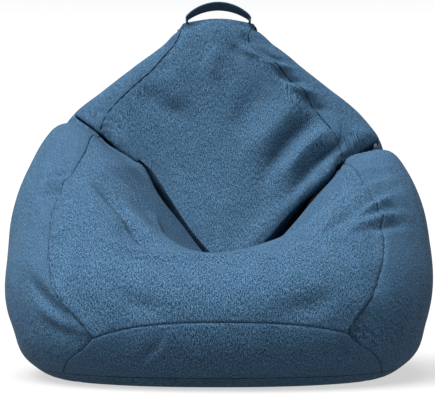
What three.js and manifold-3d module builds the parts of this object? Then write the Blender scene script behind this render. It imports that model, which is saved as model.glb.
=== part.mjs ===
// A bean bag chair: a pear-shaped fabric cover pressed in at the front to make a bucket seat, with an inner
// liner full of loose beads, a zip up the back and a strap handle at the top.
// Millimetres. +X is the sitter's left, -Y is the front, +Z is up. The origin is under the middle of the bag,
// on the floor. Left and right in the pieces' names are as someone facing the front of the bag sees them, so
// left is -X.
import * as THREE from "three";
import { mergeVertices } from "three/addons/utils/BufferGeometryUtils.js";
import Module from "manifold-3d";

// ---------------------------------------------------------------- driving dimensions
const DEPTH = 930;
const HEIGHT = 835; // of the filled bag, without its handle
const BASE_RISE = 22; // the base panel turns up this far at its rim
const BASE_FLAT = 0.86; // share of the base's radius that lies flat on the floor

const COVER_THICK = 1.6;
const LINER_DEPTH = 6; // from the cover's outer face to the liner's, and room for the zip's slider
const LINER_THICK = 0.8;
const FILLING_DEPTH = 9;
const SEAM_GAP = 0.4; // left between two sewn pieces

const RIDGE_HALF = 79; // the top seam's half length
const RIDGE_Y = 272;
const RIDGE_SIDE = 3; // half the width of a side panel's narrow end, at the top seam
const HANDLE_TOP = 880;
const HANDLE_SPAN = 158;
const HANDLE_WIDTH = 38;
const HANDLE_END = 12; // the strap narrows to this where it is sewn in
const HANDLE_THICK = 3.5;
const HANDLE_LEAN = THREE.MathUtils.degToRad(15);
const HANDLE_AXIS = HEIGHT + SEAM_GAP + HANDLE_END / 2;

// The back's centre line is an arc about an X axis, and the zip follows it.
const BACK_RADIUS = 1100;
const BACK_CENTRE = { y: DEPTH / 2 - BACK_RADIUS, z: 240 };
const BACK_ARC_TOP = 700; // above this height the back runs straight to the ridge
const ZIP_TOP = 690;
const ZIP_BOTTOM = 130;
const TAPE_WIDTH = 11.5;
const TAPE_THICK = 0.8;
const ZIP_GAP = 1.2; // between the two rows of teeth
const COIL_WIDTH = 2.4;
const COIL_RISE = 1.6;
const TAPE_SINK = 0.4; // the tape lies this far under the cover's outer face
const SLIDER_LENGTH = 12;
const SLIDER_WIDTH = 8.5;
const SLIDER_PLATE = 0.8;
const SLIDER_WEB = 0.7;
const RUNNING_GAP = 0.35; // between two pieces that move past each other
const PIN_RADIUS = 0.6;
const PULL_LENGTH = 24;
const PULL_WIDTH = 6;
const PULL_EYE_WIDTH = 3.4;
const PULL_THICK = 1;
const LINER_ZIP_TOP = 420;
const LINER_ZIP_BOTTOM = 160;

// Columns of the surface grid, counted round the bag from the left front seam, and rows up it.
const FRONT_COLUMNS = 16;
const SIDE_COLUMNS = 7;
const BACK_COLUMNS = 14;
const ROWS = 22;
const LOW_SEAM_ROW = 2;
const COLUMNS = FRONT_COLUMNS + BACK_COLUMNS + 2 * SIDE_COLUMNS;
const RIGHT_FRONT_SEAM = FRONT_COLUMNS;
const RIGHT_BACK_SEAM = RIGHT_FRONT_SEAM + SIDE_COLUMNS;
const BACK_MIDDLE = RIGHT_BACK_SEAM + BACK_COLUMNS / 2;
const LEFT_BACK_SEAM = RIGHT_BACK_SEAM + BACK_COLUMNS;

// ---------------------------------------------------------------- the bag's form
// Outlines against height: each is a smooth curve through [height, value] knots.
const HALF_WIDTH = [[0, 375], [40, 425], [120, 460], [250, 475], [360, 467], [460, 443], [545, 405], [610, 355],
  [670, 279], [730, 204], [785, 140], [835, 87]];
const FRONT = [[0, -345], [40, -412], [150, -465], [230, -436], [300, -365], [450, -190], [600, 20], [740, 160],
  [835, 235]];
const BACKREST = [[150, 0], [250, 60], [400, 130], [560, 185], [700, 220], [835, 245]];
const LEFT_SEAM = [[0, -320], [20, -320], [55, -303], [101, -243], [145, -287], [180, -318], [240, -343],
  [330, -352], [400, -342], [440, -322], [495, -298], [550, -284], [610, -262], [660, -214], [715, -155],
  [765, -116], [835, -80]];
const RIGHT_SEAM = [[0, 340], [20, 340], [72, 309], [111, 252], [140, 268], [177, 302], [237, 330],
  [300, 341], [360, 342], [420, 317], [466, 302], [540, 283], [593, 248], [645, 214], [686, 178],
  [722, 138], [764, 90], [800, 74], [835, 78]];
const SEAT_OFFSET = 35; // from the bag's middle to the lowest line of the seat
const ARM_SHOULDER = 250; // above the seat, where the arms' slope eases off
const LEFT_ARM = { steep: 1.34, ease: 0.58 };
const RIGHT_ARM = { steep: 1.15, ease: 0.6 };
const BACK_SEAM = [[0, 270], [150, 330], [300, 330], [450, 295], [620, 215], [760, 120], [835, 80]];

function curve(knots, at) {
  const last = knots.length - 1;
  const slope = (k) => {
    const [a, b] = [knots[Math.max(k - 1, 0)], knots[Math.min(k + 1, last)]];
    return (b[1] - a[1]) / (b[0] - a[0]);
  };
  const x = THREE.MathUtils.clamp(at, knots[0][0], knots[last][0]);
  let k = 0;
  while (k < last - 1 && x > knots[k + 1][0]) k += 1;
  const [[x0, y0], [x1, y1]] = [knots[k], knots[k + 1]];
  const span = x1 - x0;
  const t = (x - x0) / span;
  const rise = t * t * (3 - 2 * t);
  const bend = slope(k) * t * (1 - t) ** 2 - slope(k + 1) * t * t * (1 - t);
  return THREE.MathUtils.lerp(y0, y1, rise) + span * bend;
}

function backAt(z) {
  const up = Math.min(z, BACK_ARC_TOP) - BACK_CENTRE.z;
  const out = Math.sqrt(BACK_RADIUS ** 2 - up ** 2);
  const beyond = Math.max(z - BACK_ARC_TOP, 0);
  const tuck = 75 * (1 - THREE.MathUtils.smoothstep(z, 0, 110)) ** 2;
  return BACK_CENTRE.y + out - (beyond * up) / out - tuck;
}

// The larger of two distances, with the corner between them rounded over a width.
function roundedMax(a, b, width) {
  const near = Math.max(width - Math.abs(a - b), 0) / width;
  return Math.max(a, b) + (near * near * width) / 4;
}

// The uncut pear: an oval section at each height.
function pearDistance({ x, y, z }) {
  const half = curve(HALF_WIDTH, z);
  const [front, back] = [curve(FRONT, z), backAt(z)];
  const [middle, deep] = [(front + back) / 2, (back - front) / 2];
  const power = 2.3;
  const oval = (Math.abs(x / half) ** power + Math.abs((y - middle) / deep) ** power + 1e-9) ** (1 / power);
  const side = (oval - 1) * Math.min(half, deep) * 0.8;
  return roundedMax(roundedMax(side, z - HEIGHT, 40), -z, 20);
}

// The seat's surface: low in the middle, rising as a V to the arms and a little to the front roll. At the back
// its lowest line lies off centre, and the left arm is the steeper one.
function seatHeight(x, y) {
  const back = THREE.MathUtils.smoothstep(y, -380, 50);
  const aside = x - SEAT_OFFSET * back;
  const { steep, ease } = aside < 0 ? LEFT_ARM : RIGHT_ARM;
  const round = THREE.MathUtils.lerp(200, 40, back);
  const rise = THREE.MathUtils.lerp(1.05, steep, back) * (Math.hypot(aside, round) - round);
  const lift = rise > ARM_SHOULDER ? ARM_SHOULDER + (rise - ARM_SHOULDER) * ease : rise;
  return THREE.MathUtils.lerp(280, 215, THREE.MathUtils.smoothstep(y, -360, -50)) + lift;
}

// Negative inside the cover. The hollow is what lies above the seat and in front of the backrest.
function bagDistance(point) {
  const aboveSeat = (seatHeight(point.x, point.y) - point.z) * 0.62;
  const beforeRest = (point.y - curve(BACKREST, point.z) - 0.00025 * point.x ** 2) * 0.93;
  const hollow = roundedMax(aboveSeat, beforeRest, 14);
  const edge = THREE.MathUtils.lerp(95, 45, THREE.MathUtils.smoothstep(point.z, 400, 560));
  return roundedMax(pearDistance(point), -hollow, edge);
}

function bagSlope(point) {
  const step = 0.1;
  const along = (axis) => {
    const [ahead, behind] = [point.clone(), point.clone()];
    ahead[axis] += step;
    behind[axis] -= step;
    return (bagDistance(ahead) - bagDistance(behind)) / (2 * step);
  };
  return new THREE.Vector3(along("x"), along("y"), along("z"));
}

// ---------------------------------------------------------------- the surface grid
// First guesses of a few lines up the bag. The grid between them settles onto the form.
const GUIDES = {
  middle: [[0, -360, 30], [0, -460, 140], [0, -360, 270], [0, -100, 200], [0, 30, 200], [0, 120, 500]],
  knee: [[200, -300, 30], [190, -410, 130], [200, -320, 300], [160, -100, 300], [150, 60, 360], [150, 120, 520]],
  seam: [[345, -200, 30], [280, -360, 115], [370, -200, 300], [330, 0, 470], [270, 140, 560]],
  side: [[400, 50, 30], [475, 50, 250], [370, 120, 550], [300, 200, 620]],
  backSeam: [[270, 270, 30], [330, 330, 250], [270, 320, 500]],
  back: [[0, 380, 30], [0, 465, 230], [0, 410, 580]],
};

function ridgePoint(column) {
  const turn = [
    [0, -RIDGE_HALF, -1],
    [RIGHT_FRONT_SEAM, RIDGE_HALF, -1],
    [RIGHT_BACK_SEAM, RIDGE_HALF, 1],
    [LEFT_BACK_SEAM, -RIDGE_HALF, 1],
    [COLUMNS, -RIDGE_HALF, -1],
  ];
  const k = turn.findIndex((mark, at) => at > 0 && column <= mark[0]);
  const [from, to] = [turn[k - 1], turn[k]];
  const t = (column - from[0]) / (to[0] - from[0]);
  const [x, side] = [1, 2].map((n) => THREE.MathUtils.lerp(from[n], to[n], t));
  return new THREE.Vector3(x, RIDGE_Y + side * RIDGE_SIDE, HEIGHT - 0.5);
}

function firstGrid() {
  const mirrored = (name) => GUIDES[name].map(([x, y, z]) => [-x, y, z]);
  const guides = [
    [0, mirrored("seam")],
    [FRONT_COLUMNS * 0.25, mirrored("knee")],
    [FRONT_COLUMNS * 0.5, GUIDES.middle],
    [FRONT_COLUMNS * 0.75, GUIDES.knee],
    [RIGHT_FRONT_SEAM, GUIDES.seam],
    [RIGHT_FRONT_SEAM + SIDE_COLUMNS / 2, GUIDES.side],
    [RIGHT_BACK_SEAM, GUIDES.backSeam],
    [BACK_MIDDLE, GUIDES.back],
    [LEFT_BACK_SEAM, mirrored("backSeam")],
    [LEFT_BACK_SEAM + SIDE_COLUMNS / 2, mirrored("side")],
    [COLUMNS, mirrored("seam")],
  ].map(([column, points]) => {
    const line = new THREE.CurvePath();
    const stops = points.map((p) => new THREE.Vector3(...p));
    stops.push(ridgePoint(column));
    stops.slice(1).forEach((stop, k) => line.add(new THREE.LineCurve3(stops[k], stop)));
    return { column, line };
  });
  return Array.from({ length: COLUMNS }, (_, i) => {
    const k = guides.findIndex((guide, at) => at > 0 && i <= guide.column);
    const [from, to] = [guides[k - 1], guides[k]];
    const t = (i - from.column) / (to.column - from.column);
    return Array.from({ length: ROWS + 1 }, (_, j) =>
      from.line.getPointAt(j / ROWS).lerp(to.line.getPointAt(j / ROWS), t),
    );
  });
}

const SEAMS = new Map([
  [0, (z) => curve(LEFT_SEAM, z)],
  [RIGHT_FRONT_SEAM, (z) => curve(RIGHT_SEAM, z)],
  [RIGHT_BACK_SEAM, (z) => curve(BACK_SEAM, z)],
  [LEFT_BACK_SEAM, (z) => -curve(BACK_SEAM, z)],
]);

// The row of the seam across the lower front: level in the middle, lower at its two ends.
function lowSeamHeight(column) {
  const aside = (2 * column) / FRONT_COLUMNS - 1;
  return 137 - (aside < 0 ? 36 : 26) * Math.abs(aside) ** 2.5;
}

// Each pass evens out the grid, then puts it back on the form, its seams on their lines. The rim and the low
// seam are held tight: they stay at their own height and even out only along themselves.
function settledGrid(passes) {
  let grid = firstGrid();
  for (let pass = 0; pass < passes; pass += 1) {
    const before = grid;
    grid = before.map((line, i) =>
      line.map((_, j) => {
        const [left, right] = [before[(i + COLUMNS - 1) % COLUMNS][j], before[(i + 1) % COLUMNS][j]];
        if (j === ROWS) return ridgePoint(i);
        const even = left.clone().add(right).multiplyScalar(0.5);
        const tight = j === 0 || (j === LOW_SEAM_ROW && i <= FRONT_COLUMNS);
        if (!tight) even.add(line[j - 1].clone().add(line[j + 1]).multiplyScalar(0.5)).multiplyScalar(0.5);
        return settle(even, i, j, tight);
      }),
    );
  }
  return grid;
}

function settle(point, i, j, levelRow) {
  const seam = SEAMS.get(i);
  if (levelRow) point.z = j === 0 ? BASE_RISE : lowSeamHeight(i);
  if (i === BACK_MIDDLE) point.x = 0;
  for (let turn = 0; turn < 2; turn += 1) {
    const slope = bagSlope(point);
    if (seam || i === BACK_MIDDLE) slope.x = 0;
    if (levelRow) slope.z = 0;
    const move = slope.multiplyScalar(-bagDistance(point) / Math.max(slope.lengthSq(), 0.1));
    point.add(move.clampLength(0, 30));
    if (seam) point.x = seam(point.z);
  }
  return point;
}

const GRID = settledGrid(300);

// The way out of the bag at each grid point. Under the top seam, which is sharp, the inner layers draw back
// by more than their depth.
const OUTWARD = GRID.map((line) =>
  line.map((point, j) => {
    if (j < ROWS) return bagSlope(point).normalize();
    return new THREE.Vector3(0, 0, 2.4);
  }),
);

// The point on the form at a fractional column and row, a depth under the cover's outer face.
function skin(column, row, depth) {
  const wrapped = ((column % COLUMNS) + COLUMNS) % COLUMNS;
  const i = Math.floor(wrapped);
  const j = Math.min(Math.floor(row), ROWS - 1);
  const [s, t] = [wrapped - i, row - j];
  const corner = (di, dj) =>
    GRID[(i + di) % COLUMNS][j + dj].clone().addScaledVector(OUTWARD[(i + di) % COLUMNS][j + dj], -depth);
  const low = corner(0, 0).lerp(corner(1, 0), s);
  return low.lerp(corner(0, 1).lerp(corner(1, 1), s), t);
}

// ---------------------------------------------------------------- making meshes
const blueWeave = { color: 0x3d6485, roughness: 0.95, metalness: 0 };
const linerCloth = { color: 0xe9e8e3, roughness: 0.9, metalness: 0 };
const navyTape = { color: 0x24405a, roughness: 0.85, metalness: 0 };
const nylonCoil = { color: 0x1f3850, roughness: 0.5, metalness: 0 };
const castZinc = { color: 0x8d9196, roughness: 0.35, metalness: 1 };
const foamBeads = { color: 0xf4f4f0, roughness: 0.8, metalness: 0 };

const beanBag = new THREE.Group();

function addPiece(name, geometry, finish, parent = beanBag) {
  const mesh = new THREE.Mesh(geometry, new THREE.MeshStandardMaterial(finish));
  mesh.name = name;
  parent.add(mesh);
}

function bare(geometry) {
  geometry.deleteAttribute("normal");
  geometry.deleteAttribute("uv");
  return mergeVertices(geometry, 1e-4);
}

// Splits every quad along the diagonal that climbs to the right, so that pieces lying one over another on the
// grid bend alike. A corner's climb is its column plus its row, and each quad's six indices are a b d, then b c d
// in some order, so the two that share a diagonal are b and d.
function bendAlike(geometry, climbOf) {
  const index = geometry.index.array;
  const [position, uv] = [geometry.attributes.position, geometry.attributes.uv];
  const climb = (k) => Math.round(climbOf(position.getX(k), position.getY(k), uv.getX(k), uv.getY(k)));
  for (let k = 0; k < index.length; k += 6) {
    const [a, b, d] = index.slice(k, k + 3);
    const c = [...index.slice(k + 3, k + 6)].find((corner) => corner !== b && corner !== d);
    if (climb(b) === climb(d) && climb(a) !== climb(c)) index.set([a, b, c, a, c, d], k);
  }
  return geometry;
}

// Moves every vertex of a geometry to a new place.
function remap(geometry, place) {
  const shape = bare(geometry);
  const position = shape.attributes.position;
  for (let k = 0; k < position.count; k += 1) {
    const to = place(new THREE.Vector3().fromBufferAttribute(position, k));
    position.setXYZ(k, to.x, to.y, to.z);
  }
  shape.computeVertexNormals();
  return shape;
}

// ---------------------------------------------------------------- the sewn cloth pieces
// A row of the grid's height at the middle of the back.
const backHeight = (row) => skin(BACK_MIDDLE, row, 0).z;
const firstRowAbove = (z) => Array.from({ length: ROWS }, (_, j) => j).find((j) => backHeight(j) >= z);

// A cut piece of cloth: a thin plate whose breadth runs along columns and whose length runs up rows. Each edge
// stops short of its seam, and an edge beside a zip stops short of the zip's tape up to a given row.
function clothPanel({ columns, rows, depth, thick, zipAt = null, zipRow = -1 }) {
  const [[c0, c1], [r0, r1]] = [columns, rows];
  const box = new THREE.BoxGeometry(1, 1, 1, c1 - c0, r1 - r0, 1);
  const plate = bendAlike(box, (x, y) => (x + 0.5) * (c1 - c0) + (y + 0.5) * (r1 - r0));
  const gapInColumns = (edge, towards, row) => {
    const besideZip = edge === zipAt && Math.round(row) <= zipRow;
    const gap = besideZip ? TAPE_WIDTH + SEAM_GAP : SEAM_GAP;
    return gap / Math.max(skin(edge, row, 0).distanceTo(skin(edge + towards, row, 0)), 1);
  };
  return remap(plate, (v) => {
    let row = r0 + (v.y + 0.5) * (r1 - r0);
    let column = c0 + (v.x + 0.5) * (c1 - c0);
    if (v.x === -0.5) column += gapInColumns(c0, 1, row);
    if (v.x === 0.5) column -= gapInColumns(c1, -1, row);
    const rise = skin(column, r0, 0).distanceTo(skin(column, r0 + 1, 0));
    if (v.y === -0.5) row += SEAM_GAP / rise;
    if (v.y === 0.5) row -= SEAM_GAP / rise;
    return skin(column, row, depth + (v.z > 0 ? 0 : thick));
  });
}

// The bag's underside: flat on the floor, then turned up to the lowest row.
function basePoint(column, share, depth) {
  const rim = skin(column, 0, 0);
  const flatOut = new THREE.Vector3(rim.x, rim.y, 0);
  const turned = share ** 4; // how far the cloth has turned from lying flat to standing up
  const rise = (BASE_RISE - SEAM_GAP) * (Math.max(share - BASE_FLAT, 0) / (1 - BASE_FLAT)) ** 2;
  const place = flatOut.clone().multiplyScalar(share).addScaledVector(flatOut.normalize(), -depth * turned);
  return place.setZ(rise + depth * (1 - turned));
}

const BASE_SHARES = [0.4, BASE_FLAT, 0.91, 0.96, 1];

// Turns a profile about the middle, one segment to each column, and hands each vertex's column and profile step
// to a function that places it. The first and last steps lie on the axis.
function turnedAbout(steps, place) {
  const last = steps.length - 1;
  const profile = steps.map((_, k) => new THREE.Vector2(k === 0 || k === last ? 0 : 1, k));
  const turned = new THREE.LatheGeometry(profile, COLUMNS);
  bendAlike(turned, (x, y, u, v) => u * COLUMNS + v * last);
  return remap(turned, (v) => {
    const turn = Math.atan2(v.x, v.z) / (2 * Math.PI);
    const column = v.x === 0 && v.z === 0 ? 0 : Math.round(turn * COLUMNS + COLUMNS) % COLUMNS;
    return place(column, steps[Math.round(v.y)]);
  });
}

function baseCloth(depth, thick) {
  const outer = [0, ...BASE_SHARES].map((share) => ({ share, depth }));
  const inner = [...BASE_SHARES].reverse().concat(0).map((share) => ({ share, depth: depth + thick }));
  return turnedAbout([...outer, ...inner], (column, step) => basePoint(column, step.share, step.depth));
}

const zipRow = firstRowAbove(ZIP_TOP);
const cover = { depth: 0, thick: COVER_THICK };
const upper = [LOW_SEAM_ROW, ROWS];
const fullHeight = [0, ROWS];
const PANELS = {
  front_panel: { columns: [0, FRONT_COLUMNS], rows: upper },
  lower_front_panel: { columns: [0, FRONT_COLUMNS], rows: [0, LOW_SEAM_ROW] },
  right_side_panel: { columns: [RIGHT_FRONT_SEAM, RIGHT_BACK_SEAM], rows: fullHeight },
  back_panel_right: { columns: [RIGHT_BACK_SEAM, BACK_MIDDLE], rows: fullHeight, zipAt: BACK_MIDDLE, zipRow },
  back_panel_left: { columns: [BACK_MIDDLE, LEFT_BACK_SEAM], rows: fullHeight, zipAt: BACK_MIDDLE, zipRow },
  left_side_panel: { columns: [LEFT_BACK_SEAM, COLUMNS], rows: fullHeight },
};
for (const [name, cut] of Object.entries(PANELS)) addPiece(name, clothPanel({ ...cover, ...cut }), blueWeave);
addPiece("base_panel", baseCloth(0, COVER_THICK), blueWeave);

// The liner is two halves, sewn together up the middle of the front and the back, and a base.
const liner = { depth: LINER_DEPTH, thick: LINER_THICK, rows: fullHeight, zipAt: BACK_MIDDLE };
liner.zipRow = firstRowAbove(LINER_ZIP_TOP);
const frontMiddle = FRONT_COLUMNS / 2;
addPiece("liner_right_half", clothPanel({ ...liner, columns: [frontMiddle, BACK_MIDDLE] }), linerCloth);
addPiece("liner_left_half", clothPanel({ ...liner, columns: [BACK_MIDDLE, COLUMNS + frontMiddle] }), linerCloth);
addPiece("liner_base", baseCloth(LINER_DEPTH, LINER_THICK), linerCloth);

const fillingSteps = [
  { share: 0 },
  ...BASE_SHARES.map((share) => ({ share })),
  ...Array.from({ length: ROWS + 1 }, (_, row) => ({ row })),
  { top: true },
];
const filling = turnedAbout(fillingSteps, (column, step) => {
  if (step.top) return skin(0, ROWS, FILLING_DEPTH).setX(0).setY(RIDGE_Y);
  if (step.row !== undefined) return skin(column, step.row, FILLING_DEPTH);
  return basePoint(column, step.share, FILLING_DEPTH);
});
addPiece("bead_filling", filling, foamBeads);

// ---------------------------------------------------------------- the strap handle
// Stations along the strap, each with its distance from the sewn end's axis. The strap stands up from each end,
// crosses in half an ellipse, and its ends are round about the axis that it flops over on.
function strapHalfWidth(distance) {
  const end = HANDLE_END / 2;
  if (distance < 0) return Math.sqrt(Math.max(end ** 2 - distance ** 2, 0.2));
  return THREE.MathUtils.lerp(end, HANDLE_WIDTH / 2, THREE.MathUtils.smoothstep(distance, 0, 28));
}

function strapHandle() {
  const steps = 24;
  const endSteps = 3;
  const half = (HANDLE_SPAN - HANDLE_THICK) / 2;
  const rise = HANDLE_TOP - HANDLE_AXIS - HANDLE_THICK / 2;
  const arch = new THREE.EllipseCurve(0, 0, half, rise, Math.PI, 0, true);
  const archLength = arch.getLength();
  const strap = new THREE.BoxGeometry(1, 1, 1, steps + 2 * endSteps, 2, 1);
  return remap(strap, (v) => {
    const step = Math.round((v.x + 0.5) * (steps + 2 * endSteps)) - endSteps;
    const beyond = step < 0 ? -step : Math.max(step - steps, 0);
    const along = THREE.MathUtils.clamp(step / steps, 0, 1);
    const drop = (HANDLE_END / 2) * Math.sin((beyond / endSteps) * (Math.PI / 2));
    const centre = arch.getPointAt(along);
    const tangent = arch.getTangentAt(along);
    const distance = beyond ? -drop : Math.min(along, 1 - along) * archLength;
    const out = v.z * HANDLE_THICK;
    return new THREE.Vector3(
      centre.x - tangent.y * out,
      v.y * 2 * strapHalfWidth(distance),
      centre.y + tangent.x * out - drop,
    );
  });
}

const handleSeat = new THREE.Group();
handleSeat.position.set(0, RIDGE_Y, HANDLE_AXIS);
handleSeat.rotation.x = -HANDLE_LEAN;
beanBag.add(handleSeat);
addPiece("carry_handle", strapHandle(), blueWeave, handleSeat);

// ---------------------------------------------------------------- the two zips
// A point on the middle of the back, a height up it, a distance along X and a rise out of the cover's face.
function onBack(x, z, rise) {
  const slope = (backAt(z + 1) - backAt(z - 1)) / 2;
  const out = new THREE.Vector3(0, 1, -slope).normalize();
  return new THREE.Vector3(x, backAt(z), z).addScaledVector(out, rise);
}

// A strip that follows the back's middle, between two heights, two places along X and two rises.
function backStrip(heights, breadth, rises) {
  const steps = 24;
  return remap(new THREE.BoxGeometry(1, 1, 1, 1, steps, 1), (v) => {
    const pick = ([low, high], at) => THREE.MathUtils.lerp(low, high, at + 0.5);
    return onBack(pick(breadth, -v.x), pick(heights, v.y), pick(rises, v.z));
  });
}

const wasm = await Module();
wasm.setup();

function joined(geometries) {
  const solids = geometries.map((geometry) => {
    const shape = bare(geometry);
    return new wasm.Manifold(
      new wasm.Mesh({
        numProp: 3,
        vertProperties: shape.attributes.position.array,
        triVerts: new Uint32Array(shape.index.array),
      }),
    );
  });
  const whole = solids.reduce((sum, solid) => sum.add(solid)).getMesh();
  return new THREE.BufferGeometry()
    .setAttribute("position", new THREE.BufferAttribute(whole.vertProperties, 3))
    .setIndex(new THREE.BufferAttribute(whole.triVerts, 1));
}

function block([x0, x1], [y0, y1], [z0, z1]) {
  return new THREE.BoxGeometry(x1 - x0, y1 - y0, z1 - z0).translate((x0 + x1) / 2, (y0 + y1) / 2, (z0 + z1) / 2);
}

// A group at a place on the back, turned so that +Y points out of the bag and +Z up along the zip.
function seatOnBack(z, depth) {
  const turn = Math.asin((z - BACK_CENTRE.z) / BACK_RADIUS);
  const seat = new THREE.Group();
  const reach = BACK_RADIUS - depth;
  seat.position.set(0, BACK_CENTRE.y + reach * Math.cos(turn), BACK_CENTRE.z + reach * Math.sin(turn));
  seat.rotation.x = turn;
  beanBag.add(seat);
  return seat;
}

const coilTop = COIL_RISE;
const coilFoot = -TAPE_SINK + 0.3;
const topPlate = [coilTop + RUNNING_GAP, coilTop + RUNNING_GAP + SLIDER_PLATE];
const lowPlate = [-TAPE_SINK - TAPE_THICK - RUNNING_GAP - SLIDER_PLATE, -TAPE_SINK - TAPE_THICK - RUNNING_GAP];
const pinRise = topPlate[1] + RUNNING_GAP + PIN_RADIUS + RUNNING_GAP + PULL_THICK;

// Two plates joined by a web that passes between the rows of teeth.
function sliderBody() {
  const long = [-SLIDER_LENGTH / 2, SLIDER_LENGTH / 2];
  const broad = [-SLIDER_WIDTH / 2, SLIDER_WIDTH / 2];
  return [
    block(broad, topPlate, long),
    block(broad, lowPlate, long),
    block([-SLIDER_WEB / 2, SLIDER_WEB / 2], [lowPlate[0] + 0.2, topPlate[1] - 0.2], long),
  ];
}

// Two ears on the slider, with the pin that the pull's eye turns on.
function sliderEars() {
  const inner = PULL_EYE_WIDTH / 2 + RUNNING_GAP;
  const outer = inner + 1;
  const tall = [topPlate[1] - 0.2, pinRise + PIN_RADIUS + 0.5];
  const pin = new THREE.CylinderGeometry(PIN_RADIUS, PIN_RADIUS, 2 * inner + 1, 12).rotateZ(Math.PI / 2);
  return [
    block([-outer, -inner], tall, [-1.5, 1.5]),
    block([inner, outer], tall, [-1.5, 1.5]),
    pin.translate(0, pinRise, 0),
  ];
}

// A flat tab with a barrel at its top that turns on the slider's pin. It hangs down the zip.
function pullTab() {
  const bore = PIN_RADIUS + RUNNING_GAP;
  const wall = bore + PULL_THICK;
  const ring = [[bore, -0.5], [wall, -0.5], [wall, 0.5], [bore, 0.5], [bore, -0.5]];
  const profile = ring.map(([r, y]) => new THREE.Vector2(r, y * PULL_EYE_WIDTH));
  const barrel = new THREE.LatheGeometry(profile, 20).rotateZ(Math.PI / 2);
  const thick = [-PULL_THICK / 2, PULL_THICK / 2];
  const neck = block([-PULL_EYE_WIDTH / 2, PULL_EYE_WIDTH / 2], thick, [-7, -bore - 0.3]);
  const tab = block([-PULL_WIDTH / 2, PULL_WIDTH / 2], thick, [-PULL_LENGTH, -6.5]);
  return joined([barrel, neck, tab]).translate(0, pinRise, 0);
}

function addZip(prefix, depth, low, high, tapeEnds, withPull) {
  const inner = ZIP_GAP / 2;
  for (const [side, sign] of [["left", -1], ["right", 1]]) {
    const breadth = (a, b) => (sign > 0 ? [a, b] : [-b, -a]);
    const tapeRises = [-depth - TAPE_SINK - TAPE_THICK, -depth - TAPE_SINK];
    addPiece(prefix + "_tape_" + side, backStrip(tapeEnds, breadth(inner, TAPE_WIDTH), tapeRises), navyTape);
    const coilRises = [-depth + coilFoot, -depth + coilTop];
    addPiece(prefix + "_coil_" + side, backStrip([low, high], breadth(inner, COIL_WIDTH), coilRises), nylonCoil);
  }
  const slider = [...sliderBody(), ...(withPull ? sliderEars() : [])];
  const seat = seatOnBack(high - SLIDER_LENGTH, depth);
  addPiece(prefix + "_slider", joined(slider), castZinc, seat);
  if (withPull) addPiece(prefix + "_pull", pullTab(), castZinc, seat);
  for (const [name, z] of [["top", high + 3], ["bottom", low - 3]]) {
    const clasp = block([-COIL_WIDTH, COIL_WIDTH], [coilFoot, coilTop], [-1.5, 1.5]);
    addPiece(prefix + "_" + name + "_stop", clasp, castZinc, seatOnBack(z, depth));
  }
}

const tapeFoot = BASE_RISE + 8;
addZip("zip", 0, ZIP_BOTTOM, ZIP_TOP, [tapeFoot, backHeight(zipRow)], true);
addZip("liner_zip", LINER_DEPTH, LINER_ZIP_BOTTOM, LINER_ZIP_TOP, [tapeFoot, backHeight(liner.zipRow)], false);

export default beanBag;
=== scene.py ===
import math

import bmesh
import bpy
import numpy as np
from mathutils import Matrix, Vector, noise


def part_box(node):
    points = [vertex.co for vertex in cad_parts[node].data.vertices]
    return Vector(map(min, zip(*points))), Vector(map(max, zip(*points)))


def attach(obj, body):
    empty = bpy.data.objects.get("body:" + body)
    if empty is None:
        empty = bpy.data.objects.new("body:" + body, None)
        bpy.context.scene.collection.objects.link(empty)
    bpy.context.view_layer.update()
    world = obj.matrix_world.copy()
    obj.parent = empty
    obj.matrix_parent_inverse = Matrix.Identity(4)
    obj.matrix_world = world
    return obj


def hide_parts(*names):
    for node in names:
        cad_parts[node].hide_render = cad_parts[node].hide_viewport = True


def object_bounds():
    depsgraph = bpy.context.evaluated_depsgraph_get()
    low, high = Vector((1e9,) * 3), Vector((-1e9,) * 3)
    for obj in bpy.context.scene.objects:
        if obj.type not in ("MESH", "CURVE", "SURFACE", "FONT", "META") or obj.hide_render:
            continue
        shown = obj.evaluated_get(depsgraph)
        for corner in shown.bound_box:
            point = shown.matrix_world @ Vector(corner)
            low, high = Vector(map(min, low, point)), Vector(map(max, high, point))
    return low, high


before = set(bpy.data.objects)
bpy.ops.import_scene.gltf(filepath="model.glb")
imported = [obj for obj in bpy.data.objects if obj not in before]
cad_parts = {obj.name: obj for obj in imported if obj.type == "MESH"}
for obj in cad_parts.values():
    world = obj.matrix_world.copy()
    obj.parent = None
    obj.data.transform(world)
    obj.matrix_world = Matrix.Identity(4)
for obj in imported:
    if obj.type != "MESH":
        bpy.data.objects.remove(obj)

cad_low, cad_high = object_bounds()

# Camera, floor and light. The bag stands on a white studio floor and is seen straight from the front, from
# just below the middle of its height. A large soft light hangs above, in front and to the left.
scene = bpy.context.scene

camera_data = bpy.data.cameras.new("camera")
camera_data.sensor_width = 36
camera_far = 3.3
view_width = 0.979
camera_data.lens = camera_data.sensor_width * camera_far / view_width
camera_height = 0.28
aim = Vector((-0.002, 0, 0.387))
camera = bpy.data.objects.new("camera", camera_data)
camera.location = (aim.x, -camera_far, camera_height)
camera.rotation_euler = (math.atan2(camera_far, camera_height - aim.z), 0, 0)
scene.collection.objects.link(camera)
scene.camera = camera

sun_data = bpy.data.lights.new("soft_box_above", "SUN")
sun_data.energy = 13.0
sun_data.angle = math.radians(55)
sun = bpy.data.objects.new("soft_box_above", sun_data)
light_comes_from = Vector((-0.36, -0.36, 1.0))
sun.rotation_euler = light_comes_from.to_track_quat("Z", "Y").to_euler()
scene.collection.objects.link(sun)

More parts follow.
